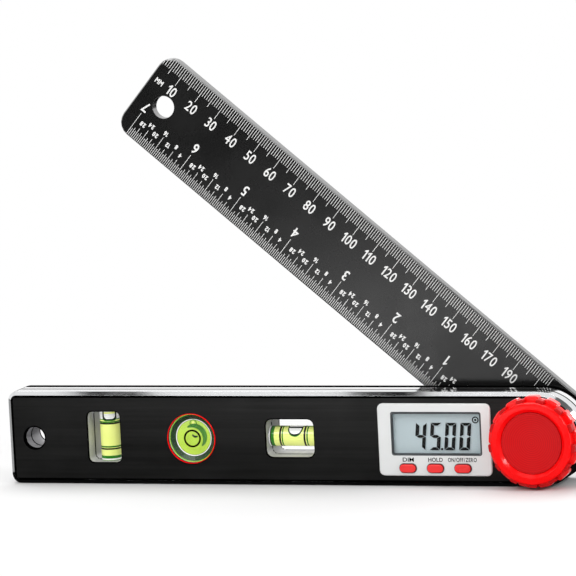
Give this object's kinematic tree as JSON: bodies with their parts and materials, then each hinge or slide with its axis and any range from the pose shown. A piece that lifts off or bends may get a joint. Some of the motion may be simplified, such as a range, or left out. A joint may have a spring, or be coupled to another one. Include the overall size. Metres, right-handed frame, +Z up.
{
  "type": "digital angle finder",
  "caption": "Digital angle finder: a block body with level vials, a display and a lock knob, and a ruler arm that swings behind it.",
  "frame": {"origin": "on the body's underside, half way along its 230 mm length and half way through its depth, where it stands", "axes": "+X along the body towards the knob, +Y from the face to the back, +Z up"},
  "size_m": [0.23, 0.0313, 0.1624],
  "materials": {
    "polished_metal": "polished, bevelled",
    "black_sheet": "brushed black",
    "arm_black": "black faces, bright edges",
    "black_plastic": "fine texture",
    "bezel_grey": "satin light grey",
    "red_plastic": "semi gloss",
    "cap_red": "turned rings",
    "clear_lens": "clear",
    "vial_fluid": "clear tube with yellow green fluid",
    "screen": "grey display cell",
    "board_green": "solder mask",
    "rubber_black": "matte",
    "white_plastic": "smooth",
    "steel": "plain",
    "brass": "plain",
    "amber_film": "thin film"
  },
  "bodies": {
    "body": {"front_shell": "polished_metal", "face_plate": "black_sheet", "rear_shell": "polished_metal", "rear_cover": "black_plastic", "case_screw_1": "steel", "case_screw_2": "steel", "case_screw_3": "steel", "case_screw_4": "steel", "case_screw_5": "steel", "case_screw_6": "steel", "plumb_vial": "vial_fluid", "plumb_vial_plug": "white_plastic", "level_vial": "vial_fluid", "level_vial_plug": "white_plastic", "bullseye_vial": "vial_fluid", "bullseye_ring": "red_plastic", "display_bezel": "bezel_grey", "display_lens": "clear_lens", "lcd_panel": "screen", "zebra_strip_upper": "rubber_black", "zebra_strip_lower": "rubber_black", "circuit_board": "board_green", "controller_chip": "rubber_black", "switch_dim": "rubber_black", "switch_hold": "rubber_black", "switch_zero": "rubber_black", "coin_cell": "steel", "battery_contact_minus": "brass", "battery_contact_plus": "brass", "front_bush": "brass", "rear_bush": "brass", "encoder_stator": "board_green", "sensor_ribbon": "amber_film", "friction_washer": "white_plastic", "knob_washer": "steel"},
    "arm": {"ruler_arm": "arm_black", "pivot_bolt": "steel", "encoder_rotor": "white_plastic"},
    "knob": {"lock_knob": "red_plastic", "knob_cap": "cap_red", "knob_insert": "brass"},
    "dim_button": {"button_dim": "red_plastic"},
    "hold_button": {"button_hold": "red_plastic"},
    "zero_button": {"button_zero": "red_plastic"},
    "cap": {"battery_cap": "black_plastic"}
  },
  "joints": [
    {"name": "arm_pivot", "type": "hinge", "parent": "body", "child": "arm", "pos_m": [0.097, 0, 0.018], "axis": [0, 1, 0], "range_deg": [-40.4, 184.6]},
    {"name": "knob_turn", "type": "hinge", "parent": "arm", "child": "knob", "pos_m": [0.097, 0, 0.018], "axis": [0, -1, 0], "range_deg": [0, 180]},
    {"name": "press_dim", "type": "slide", "parent": "body", "child": "dim_button", "axis": [0, 1, 0], "range_m": [0, 0.0007], "stiffness_N_per_m": 1500},
    {"name": "press_hold", "type": "slide", "parent": "body", "child": "hold_button", "axis": [0, 1, 0], "range_m": [0, 0.0007], "stiffness_N_per_m": 1500},
    {"name": "press_zero", "type": "slide", "parent": "body", "child": "zero_button", "axis": [0, 1, 0], "range_m": [0, 0.0007], "stiffness_N_per_m": 1500},
    {"name": "cap_turn", "type": "hinge", "parent": "body", "child": "cap", "pos_m": [0.05725, 0, 0.018], "axis": [0, 1, 0], "range_deg": [0, 60]}
  ]
}
